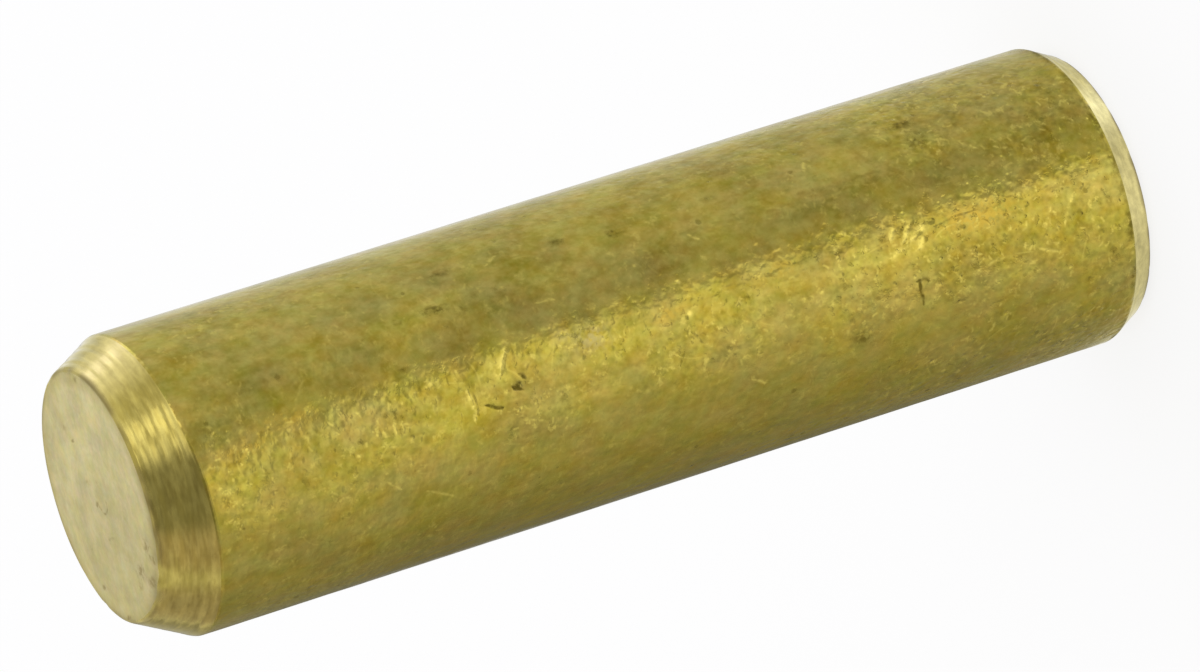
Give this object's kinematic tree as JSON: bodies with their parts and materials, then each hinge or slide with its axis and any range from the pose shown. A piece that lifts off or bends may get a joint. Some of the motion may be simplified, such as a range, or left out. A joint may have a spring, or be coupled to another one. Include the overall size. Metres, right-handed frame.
{
  "type": "shear pin",
  "caption": "Short solid round brass pin with a chamfer at each end, that holds two machine parts together and shears first when they are overloaded.",
  "frame": {"origin": "centre of the lower end face, the end with the short chamfer, on which the pin stands", "axes": "+Z along the pin's axis from the short-chamfer end to the long-chamfer end; +X and +Y are any two square directions across it"},
  "size_m": [0.008, 0.008, 0.028],
  "materials": {
    "drawn_brass": "drawn and tarnished, with turned ends"
  },
  "bodies": {
    "root": {"shear_pin": "drawn_brass"}
  },
  "joints": []
}
